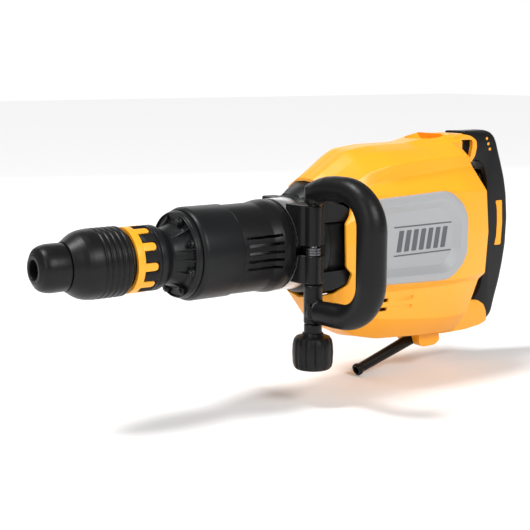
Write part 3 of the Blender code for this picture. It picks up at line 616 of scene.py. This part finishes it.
def knob():
    """Fluted knob on the lower end of the bolt, with its neck."""
    flutes, flute_steps, flute_depth, radius = 12, 12, 1.9, 23.6
    outline = []
    for step in range(flutes * flute_steps):
        share = (step % flute_steps) / flute_steps
        dip = flute_depth * max(0.0, math.cos(2.0 * math.pi * share)) ** 3
        outline.append((2.0 * math.pi * step / (flutes * flute_steps), radius - dip))
    foot, top = KNOB_BOTTOM, HUB_BOTTOM - 14.6
    levels = [(foot, 0.60), (foot + 0.8, 0.84), (foot + 3, 0.93), (foot + 8, 0.98), (foot + 20, 1.0),
              (top - 10, 0.98), (top - 4, 0.93), (top - 1, 0.84), (top, 0.72)]
    loops = []
    for z, share in levels:
        fluted = share > 0.86
        loop = []
        for angle, reach in outline:
            out = (reach if fluted else radius) * share
            loop.append((BOLT_X + out * math.cos(angle), BOLT_Y + out * math.sin(angle), z))
        loops.append(loop)
    axis = upright(BOLT_X, BOLT_Y)
    neck_bar = rod(10.3, top - 1, HUB_BOTTOM - 0.5, axis, 40, 0.8)
    collar = turned(rounded([(top - 1, 8), (top - 1, 13.5), (top + 4, 12.0), (top + 5, 8)], 1.0), 48, axis)
    piece("knob", merged(loft(loops), neck_bar, collar), "knob", ["clamp_knob"],
          LOOKS["black_plastic"])


# --- body ----------------------------------------------------------------------------------------------
# Half sections of the yellow shell from the crest down to the belly, as (x, ((half width, height), ...)).
SECTIONS = (
    (SHELL_FRONT, ((0, 70.5), (14, 69.5), (30, 61), (46, 46), (56, 34), (64, 20), (66, 0), (62, -24),
                   (54, -40), (40, -53), (22, -64), (0, -68))),
    (375, ((0, 89.5), (15, 88.5), (29, 80), (46, 64), (56, 50), (67, 30), (69, 0), (67, -32),
           (57, -56), (44, -84), (26, -102), (0, -107))),
    (405, ((0, 108.5), (16, 107.5), (32, 99), (52, 82), (55, 67), (71, 49), (73, 0), (71, -49),
           (61, -60), (52, -92), (30, -118), (0, -122))),
    (440, ((0, 112.5), (16, 111.5), (35, 105), (57.5, 91), (58, 73), (74, 53), (76, 0), (74, -53),
           (64, -61), (55, -98), (32, -126), (0, -129))),
    (500, ((0, 113.5), (15, 112.5), (35, 106), (58.5, 95), (58.5, 77), (74, 57), (76, 0), (74, -55),
           (65, -62), (57, -104), (34, -130), (0, -133))),
    (545, ((0, 122.5), (21, 121.5), (34, 111), (58, 96), (58, 81), (74, 55), (76, 0), (74, -55),
           (65, -62), (56, -107), (34, -132), (0, -135))),
    (SHELL_BACK, ((0, 123.5), (22, 122.5), (33, 114), (54, 96), (54, 81), (70, 52), (72, 0), (70, -53),
                  (61, -62), (53, -106), (32, -132), (0, -136))),
)
# Where the shell ends at the back, as (height, x), and its front edge round the black neck, as (x, height).
REAR_EDGE = ((-134, 574), (-106, 575), (-81, 579), (-53, 589), (0, SHELL_BACK), (45, 589), (67, 585),
             (87, 576), (104, 561), (124, 556))
FRONT_EDGE = ((346, -70), (348, -62), (358, -57), (371, -47), (372, -33), (363, -24), (361, 0), (362, 26),
              (370, 34), (375, 43), (372, 55))
# Cheeks that hold the rear handle, the cord's boss, the window in the upper cheek and the roof behind it.
TOP_CHEEK = ((556, 110), (575, 120.5), (590, 120.5), (602, 118), (612, 112), (613, 103), (610, 92), (603, 84),
             (590, 82), (556, 82))
FOOT_CHEEK = ((555, -96), (598, -97), (622, -99), (634, -106), (639, -116), (640, -129), (628, -133),
              (600, -136), (555, -136))
CORD_BOSS = ((524, -124), (557, -124), (560, -146), (551, -151), (530, -151), (524, -146))
WINDOW = ((583, 113.5), (605, 113.5), (605, 104), (601, 90), (583, 105))
ROOF_TONGUE = ((556, 118.5), (592, 121.5), (592, 117.5), (556, 117.5))
DISH_X, DISH_Z, DISH_R = 542.0, 122.0, 19.0
VENT_HEIGHTS = (-72.0, -83.5)
# Edge of the grey plate, inner line of its raised rim, and its sunk floor.
PANEL_EDGE = ((396, 53), (510, 57), (524, 52), (541, 38), (549, 22), (549, -22), (541, -37), (524, -50),
              (510, -53), (396, -48))
PANEL_RIM = ((396, 42), (507, 45.5), (518, 41), (530, 29), (536, 17), (536, -16), (530, -28), (518, -40),
             (507, -43), (396, -39))
PANEL_FLOOR = ((404, 34), (503, 37), (512, 33), (522, 23), (528, 13), (528, -12), (522, -22), (512, -31),
               (503, -34), (404, -31))


def edge_at(table, height):
    """The x of an edge given as (height, x) at any height, eased between its points."""
    for (low, low_x), (high, high_x) in zip(table, table[1:]):
        if height <= high:
            share = min(max((height - low) / (high - low), 0.0), 1.0)
            return low_x + (high_x - low_x) * share * share * (3.0 - 2.0 * share)
    return table[-1][1]


def skin_rows(sign, mid):
    """Rows of points over the half shell, its lengthways folds soft and its crosswise folds crisper."""
    columns = []
    for column in range(len(SECTIONS[0][1])):
        run = []
        for x, section in SECTIONS:
            out, height = section[column]
            along = edge_at(REAR_EDGE, height) if x == SHELL_BACK else x
            run.append((along, sign * (out + mid), height))
        columns.append(rounded(run, 8.0, 3, closed=False))
    return [rounded(corners, 1.8, 3, closed=False) for corners in zip(*columns)]


def skin_at(x, height):
    """Half width of the shell at a place on its side."""
    outs = []
    for _, section in SECTIONS:
        for (out, z), (next_out, next_z) in zip(section, section[1:]):
            if next_z <= height <= z:
                outs.append(out + (next_out - out) * (z - height) / (z - next_z))
                break
    stations = [station for station, _ in SECTIONS]
    for i in range(len(stations) - 1):
        if stations[i] <= x <= stations[i + 1]:
            share = (x - stations[i]) / (stations[i + 1] - stations[i])
            return outs[i] + (outs[i + 1] - outs[i]) * share
    return outs[-1]


def cord_place():
    """Where the cord's sleeve leaves the boss, and how it leans."""
    lean = Matrix.Rotation(math.radians(CORD_LEAN), 4, "Y")
    return Matrix.Translation((CORD_X, 0, CORD_Z)) @ lean


def groove(sign, height):
    """A cutter for a shallow slot that runs back from a vent window."""
    depth, half, reach = 2.2, 2.2, 6.0
    loops = []
    for x in (432.0, 440.0, 450.0, 460.0, 472.0):
        floor = skin_at(x, height) - depth
        corners = ((floor, -half), (floor, half), (floor + reach, half), (floor + reach, -half))
        loops.append([(x, sign * out, height + rise) for out, rise in corners])
    return loft(loops)


def back_wall(sign):
    """A plate that closes the back of the half shell and follows its edge."""
    rim = skin_rows(sign, SEAM)[-1]
    middle = sign * 0.25
    loops = []
    for x, y, z in rim[2:-2]:
        out = y - sign * 0.6
        loops.append([(x - 0.4, out, z), (x - 0.4, middle, z), (x - 3.4, middle, z), (x - 3.4, out, z)])
    return loft(loops)


def roof_block(sign):
    """Solid stuff under the roof, for the bowl to be sunk into."""
    stations = ((506, 113.3, 112.3, 105.4), (545, 121.2, 120.2, 109.8), (580, 121.8, 120.8, 112))
    middle, flat, half, floor = 0.4, 20, 33, 103
    loops = []
    for x, crest, shoulder, foot in stations:
        corners = ((middle, floor), (middle, crest), (flat, shoulder), (half, foot), (half, floor))
        loops.append([(x, sign * out, z) for out, z in corners])
    return loft(loops)


def bowl():
    """A cutter for the oval bowl in the roof, leaning a little."""
    rim = DISH_R + 4
    dish = [(140, 0.01), (140, rim), (123, rim), (117, DISH_R), (109, DISH_R - 6), (109, 0.01)]
    lean = Matrix.Translation((DISH_X, 0, DISH_Z)) @ Matrix.Rotation(math.radians(8.0), 4, "X")
    place = lean @ Matrix.Translation((0, 0, -DISH_Z)) @ upright(0, 0) @ Matrix.Diagonal((1, 1.15, 1.35, 1))
    return turned(rounded(dish, 2.0), 48, place)


def handle_slots(sign):
    """Cutters that make room between the cheeks for the ends of the rear handle."""
    low, high = sorted((-sign * 5, sign * (CHEEK - 5)))
    past_end = 700
    slots = (((566, low, 88), (past_end, high, 117.1)), ((592, low, 82), (past_end, high, 150)),
             ((584, low, -150), (past_end, high, -88)))
    return [block(*corners) for corners in slots]


def front_cuts(sign):
    """Cutters for the shaped front edge of the half shell and for the step above it."""
    ahead = [(330, FRONT_EDGE[0][1]), *FRONT_EDGE, (355, 62), (330, 62)]
    low, high = sorted((-sign * 5, sign * 99))
    return [sided(ahead, sign, 30.0, 90.0, 2.5), block((330, low, 52), (353, high, 95))]


def vent_cuts(sign):
    """Cutters for the two vent windows and the shallow slots behind them."""
    front, back, half = 419, 434, 2.4
    cuts = []
    for height in VENT_HEIGHTS:
        foot, top = height - half, height + half
        window = [(front, foot), (back, foot), (back, top), (front, top)]
        cuts += [sided(window, sign, 45, 80, 1.2), groove(sign, height)]
    return cuts


def shell_skin(sign):
    """The bare half shell, thickened inwards from its outer skin."""
    shape = helper(loft(skin_rows(sign, SEAM), open_loops=True))
    middle = shape.data.polygons[len(shape.data.polygons) // 2]
    if middle.normal.y * sign < 0:
        shape.data.flip_normals()
    wall = shape.modifiers.new("wall", "SOLIDIFY")
    wall.thickness = WALL
    wall.offset = -1.0
    return settle(shape)


def shell(side, sign):
    """A yellow half shell with its cheeks, cord boss, roof bowl, window, vents and seat for the panel."""
    shape = shell_skin(sign)
    wall = shaped(helper(back_wall(sign)), cuts=handle_slots(sign))
    piece("shell_back_" + side, wall, "housing", [], LOOKS["yellow"])
    joins = [sided(TOP_CHEEK, sign, CHEEK - 12, CHEEK), sided(FOOT_CHEEK, sign, CHEEK - 12, CHEEK),
             sided(CORD_BOSS, sign, 0.4, 21), sided(ROOF_TONGUE, sign, 0.4, 21, 1.0), roof_block(sign)]
    panel_seat = sided(blend_of(PANEL_RIM, PANEL_FLOOR, 0.15), sign, 69.0, 80.0, 6.0)
    cord_hole = rod(8.6, -20, 16, cord_place(), 32)
    cuts = [bowl(), *handle_slots(sign), sided(WINDOW, sign, 12, 60, 3.0), cord_hole, *front_cuts(sign),
            *vent_cuts(sign), panel_seat]
    shaped(shape, joins, cuts)
    piece("shell_" + side, shape, "housing", ["housing_" + side], LOOKS["yellow"], bevel=0.5,
          sharp=38.0)


def panel(side, sign):
    """Grey plate with a raised rim, dished in the middle."""
    soft = [(x + (470 - x) * 0.012, z * 0.972) for x, z in PANEL_EDGE]
    levels = [(PANEL_FLOOR, 71.0), (PANEL_RIM, 71.6), (PANEL_EDGE, 72.0), (PANEL_EDGE, 77.6), (soft, 78.5),
              (blend_of(soft, PANEL_RIM, 0.4), 79.25), (blend_of(soft, PANEL_RIM, 0.85), 79.3),
              (PANEL_RIM, 78.9), (PANEL_FLOOR, 73.0)]
    loops = []
    for outline, out in levels:
        loops.append([(x, sign * out, z) for x, z in rounded(outline, 6.0, 4)])
    piece("panel_" + side, loft(loops), "housing", ["side_panel_" + side],
          LOOKS["grey_plastic"], bevel=0.4, sharp=12.0)


def panel_mark(side, sign):
    """A plain row of slanted bars between two lines on the floor of the grey plate."""
    low, high = sorted((sign * 72.7, sign * 73.35))
    foot, top, wide, slant = -12.5, 13, 7.4, 4.6
    bars = []
    for index in range(7):
        x = 434.0 + 12.0 * index
        outline = [(x, foot), (x + wide, foot), (x + slant + wide, top), (x + slant, top)]
        bars.append(slab(rounded(outline, 0.8, 2), low, high))
    start, stop, thick = 430, 524, 1.5
    for height in (-17.5, 16.8):
        line = [(start, height), (stop, height), (stop, height + thick), (start, height + thick)]
        bars.append(slab(line, low, high))
    piece("panel_mark_" + side, merged(*bars), "housing", [], MARK)


def neck():
    """Black casting between the clamp band and the yellow shell, with its ledges and hood."""
    profile = [(325.7, 30.2), (325.7, 53.2), (331, 57.3), (336, 60.1), (344, 60.1), (346, 57.3), (371, 57.3),
               (375, 50), (402, 50), (402, 30.2)]
    parts = [turned(rounded(profile, 1.2), 96)]
    ledge = [(334, 29), (374, 29), (374, 41), (366, 47), (350, 51), (330, 51)]
    for side in (1, -1):
        outline = [(x, z * side) for x, z in ledge]
        for sign in (-1, 1):
            parts.append(sided(outline, sign, 36.0, 57.0, 4.0))
    hood = []
    for x, top, half in ((331, 57.5, 35), (337, 61.5, 38), (352, 70.5, 44), (372, 72, 46)):
        section = ((-1, 36), (-0.8, top - 12), (-0.42, top), (0.42, top), (0.8, top - 12), (1, 36))
        hood.append([(x, y * half, z) for y, z in section])
    parts.append(loft(hood))
    parts.append(block((402.4, -45.5, -33.5), (511.5, 45.5, 73.5)))
    piece("gear_casting", merged(*parts), "housing", ["gear_case"], LOOKS["black_casting"])


# --- rear handle ---------------------------------------------------------------------------------------
# Side view of the handle in three runs: its root in the cheeks, its back, and the gap for the fingers.
HANDLE_ROOT = ((592.5, 97.0), (571.5, 99.5), (571.5, 116.5), (598.5, 116.5), (598.5, 124))
HANDLE_BACK = ((646, 124), (657, 120), (664, 110), (669, 96), (675, 80), (682, 60), (687, 38), (690, 6),
               (688.5, -30), (684, -56), (678, -80), (670, -104), (664, -124), (655, -132))
HANDLE_GAP = ((612, -132), (612, -103), (627, -98), (636, -84), (641, -62), (644, -38), (645, 30), (643, 58),
              (637, 76), (627, 85), (602, 86))
INLAY_ROOT = HANDLE_HALF - 2.0


def drawn_in(run, amount):
    """A run of points moved square to itself, to its right."""
    moved = []
    for i, (x, z) in enumerate(run):
        before, after = run[max(i - 1, 0)], run[min(i + 1, len(run) - 1)]
        heading = math.atan2(after[1] - before[1], after[0] - before[0])
        moved.append((x + amount * math.sin(heading), z - amount * math.cos(heading)))
    return moved


def grip_half(side, sign):
    """Half of the black rear handle, crowned on its outer face."""
    flat, crown = 6.0, 10.0
    levels = [(SEAM, 0.0), (flat, 0.0)]
    for angle in (0.4, 0.75, 1.05, 1.3, 1.5):
        levels.append((flat + (HANDLE_HALF - flat) * math.sin(angle), crown * (1.0 - math.cos(angle))))
    loops = []
    for half, amount in levels:
        back, gap = tuple(drawn_in(HANDLE_BACK, amount)), tuple(drawn_in(HANDLE_GAP, amount * 0.12))
        loops.append([(x, sign * half, z) for x, z in rounded(HANDLE_ROOT + back + gap, 5.0)])
    shape = helper(loft(loops))
    shaped(shape, cuts=[block((630, -10, -42), (677, 10, 72))])
    piece("rear_grip_" + side, shape, "rear_grip", ["rear_handle_" + side],
          LOOKS["black_plastic"], bevel=0.4, sharp=40.0)


def grip_strip(side, sign):
    """Orange strip let into the side of the rear handle."""
    outline = [(661, -30), (664, -18), (665, 0), (664, 18), (661, 30), (673, 30), (675, 0), (673, -30)]
    strip = sided(outline, sign, INLAY_ROOT, HANDLE_HALF + 0.45, 2.0)
    piece("grip_strip_" + side, strip, "rear_grip", ["handle_inlay_" + side], LOOKS["yellow"],
          bevel=0.3)


def grip_dots(side, sign):
    """Three plain dots at the top of the rear handle."""
    low, high = sorted((sign * INLAY_ROOT, sign * (HANDLE_HALF + 0.3)))
    dots = []
    for x, z in ((641, 113), (644, 106), (647, 99)):
        place = Matrix.Translation((x, 0, z)) @ Matrix.Rotation(math.radians(90.0), 4, "Z")
        dots.append(rod(2.0, low, high, place, 20, 0.2))
    piece("grip_dots_" + side, merged(*dots), "rear_grip", [], LOOKS["yellow"])


def finger_bar():
    """The switch's finger bar in the front of the rear handle."""
    outline = [(636, 66), (654, 70), (658, 60), (657, -24), (653, -36), (637, -38), (635, -20), (634, 30)]
    piece("finger_bar", slab(rounded(outline, 4.0), -9.1, 9.1), "trigger_bar", ["trigger"],
          LOOKS["black_plastic"], bevel=1.5)


def handle():
    """The rear handle: two halves with their strips and dots, and the finger bar between them."""
    for side, sign in (("left", -1), ("right", 1)):
        grip_half(side, sign)
        grip_strip(side, sign)
        grip_dots(side, sign)
    finger_bar()


def cord_sleeve():
    """Empty rubber sleeve for the cord, flared at its free end."""
    bore = 4.3
    profile = [(-106.8, 4.7), (-106.8, 7.2), (-105.5, 7.9), (-102.5, 7.9), (-99, 6.3), (-60, 6.8), (-6, 7.5),
               (9, 7.9), (9, bore), (-99, bore)]
    piece("cord_sleeve", turned(rounded(profile, 1.0), 48, cord_place()), "housing", ["strain_relief"],
          LOOKS["rubber"])


def carried_over():
    """Gives every CAD node that still shows its own procedural material."""
    slots = {part["node"]: part["material_slot"] for part in frame["record"]["subparts"]}
    for name, body in frame["nodes"].items():
        body.data.materials.clear()
        body.data.materials.append(LOOKS[slots[name]])


# --- stage ---------------------------------------------------------------------------------------------
WHITE = (1.0, 1.0, 1.0, 1.0)


def floor():
    """A plain pale floor just under the hammer."""
    reach = 12.0
    mesh = bmesh.new()
    corners = [(-reach, -reach), (reach, -reach), (reach, reach), (-reach, reach)]
    mesh.faces.new([mesh.verts.new((x, y, CAD_LOW.z - 0.0005)) for x, y in corners])
    data = bpy.data.meshes.new("floor")
    mesh.to_mesh(data)
    mesh.free()
    made = bpy.data.objects.new("floor", data)
    paint = surface("floor_paint", (0.96, 0.96, 0.96), 0.85, grain=60.0, relief=0.02, mottling=0.01)
    made.data.materials.append(paint)
    SHOW.objects.link(made)


def studio_world():
    """Soft white light from all round, with a plain white backdrop where the camera sees past the floor."""
    world = bpy.data.worlds.new("studio")
    world.use_nodes = True
    tree = world.node_tree
    fill = tree.nodes["Background"]
    fill.inputs["Color"].default_value = WHITE
    fill.inputs["Strength"].default_value = 0.24
    backdrop = tree.nodes.new("ShaderNodeBackground")
    backdrop.inputs["Color"].default_value = WHITE
    rays = tree.nodes.new("ShaderNodeLightPath")
    choice = tree.nodes.new("ShaderNodeMixShader")
    tree.links.new(rays.outputs["Is Camera Ray"], choice.inputs["Fac"])
    tree.links.new(fill.outputs["Background"], choice.inputs[1])
    tree.links.new(backdrop.outputs["Background"], choice.inputs[2])
    tree.links.new(choice.outputs["Shader"], tree.nodes["World Output"].inputs["Surface"])
    bpy.context.scene.world = world


def facing(direction):
    """The turn that points a lamp's or camera's back along a direction, so it looks the other way."""
    return direction.to_track_quat("Z", "Y").to_euler()


def lamp(name, place, aim, size, power):
    """A soft rectangular light that the camera can't see."""
    light = bpy.data.lights.new(name, "AREA")
    light.shape = "RECTANGLE"
    light.size, light.size_y = size
    light.energy = power
    made = bpy.data.objects.new(name, light)
    made.location = place
    made.rotation_euler = facing(Vector(place) - Vector(aim))
    made.visible_camera = False
    SHOW.objects.link(made)


def sky_light():
    """A broad sun from above, a little towards the nose and the far side."""
    sky = bpy.data.lights.new("sky", "SUN")
    sky.energy = 2.6
    sky.angle = math.radians(18.0)
    made = bpy.data.objects.new("sky", sky)
    made.rotation_euler = facing(Vector((-0.40, 0.18, 1.0)))
    SHOW.objects.link(made)


def stage():
    """Floor, backdrop and studio lights."""
    floor()
    studio_world()
    sky_light()
    middle = (0.0, 0.0, 0.2)
    lamp("front_light", (-1.9, -0.7, 1.0), (-0.2, 0.0, 0.2), (0.8, 1.2), 9.0)
    lamp("side_light", (0.1, -2.0, 1.5), middle, (1.2, 0.8), 38.0)
    lamp("back_light", (0.9, 2.4, 1.2), middle, (3.0, 1.2), 14.0)
    bpy.context.scene.view_settings.view_transform = "Standard"


def camera():
    """The photo's view: from the left front, a little above."""
    lens = bpy.data.cameras.new("camera")
    lens.lens = 80.0
    lens.sensor_width = 36.0
    lens.clip_start = 0.05
    made = bpy.data.objects.new("camera", lens)
    made.location = TOOL + Vector((-0.5068, -1.1018, 0.2044))
    azimuth, elevation = math.radians(-36.0), math.radians(9.5)
    level = math.cos(elevation)
    made.rotation_euler = facing(Vector((math.sin(azimuth) * level, -math.cos(azimuth) * level,
                                         math.sin(elevation))))
    SHOW.objects.link(made)
    bpy.context.scene.camera = made


carried_over()
nose_cap()
lock_sleeve()
ring()
casting()
barrel_front()
barrel_rear()
clamp()
side_grip()
knob()
for side, sign in (("left", -1), ("right", 1)):
    shell(side, sign)
    panel(side, sign)
    panel_mark(side, sign)
neck()
handle()
cord_sleeve()
stage()
camera()
